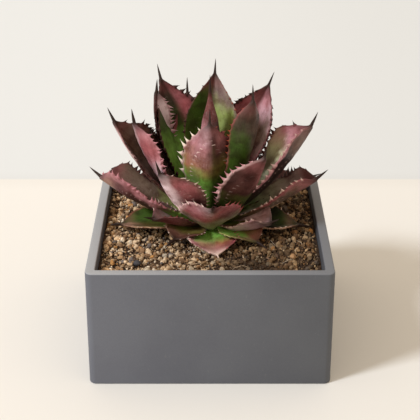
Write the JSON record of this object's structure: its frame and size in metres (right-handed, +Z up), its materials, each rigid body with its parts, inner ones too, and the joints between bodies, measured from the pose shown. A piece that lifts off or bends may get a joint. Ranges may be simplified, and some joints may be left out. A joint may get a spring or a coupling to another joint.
{
  "type": "potted burnt burgundy agave",
  "caption": "Agave rosette of folded, toothed, spine-tipped leaves round a closed bud, growing from gritty mix in a square cement pot.",
  "frame": {"origin": "centre of the pot's underside, on the surface it stands on", "axes": "+Z up along the pot's axis, -Y towards the front, +X to the right seen from the front"},
  "size_m": [0.2091, 0.203, 0.245],
  "materials": {
    "pot": "matt cast cement, pale speckle",
    "soil": "gritty potting mix",
    "stem": "matt",
    "leaf": "satin with a powdery bloom",
    "bud": "satin with a powdery bloom",
    "stone": "matt"
  },
  "bodies": {
    "root": {"bud": "bud", "leaf_inner_back": "leaf", "leaf_inner_left": "leaf", "leaf_inner_right": "leaf", "leaf_low_back": "leaf", "leaf_low_back_left": "leaf", "leaf_low_back_right": "leaf", "leaf_low_front": "leaf", "leaf_low_front_left": "leaf", "leaf_low_front_right": "leaf", "leaf_low_left": "leaf", "leaf_low_right": "leaf", "leaf_middle_back": "leaf", "leaf_middle_back_left": "leaf", "leaf_middle_back_right": "leaf", "leaf_middle_front_left": "leaf", "leaf_middle_front_right": "leaf", "leaf_middle_left": "leaf", "leaf_middle_right": "leaf", "leaf_outer_back_left": "leaf", "leaf_outer_back_right": "leaf", "leaf_outer_left": "leaf", "leaf_outer_right": "leaf", "leaf_spread_back_left": "leaf", "leaf_spread_back_right": "leaf", "leaf_spread_front": "leaf", "leaf_spread_front_left": "leaf", "leaf_spread_front_right": "leaf", "leaf_upper_back_left": "leaf", "leaf_upper_back_right": "leaf", "leaf_upper_front": "leaf", "leaf_upper_left": "leaf", "pot": "pot", "soil": "soil", "stem": "stem", "stone_brown_right": "stone", "stone_dark": "stone", "stone_pale_left": "stone"}
  },
  "joints": []
}
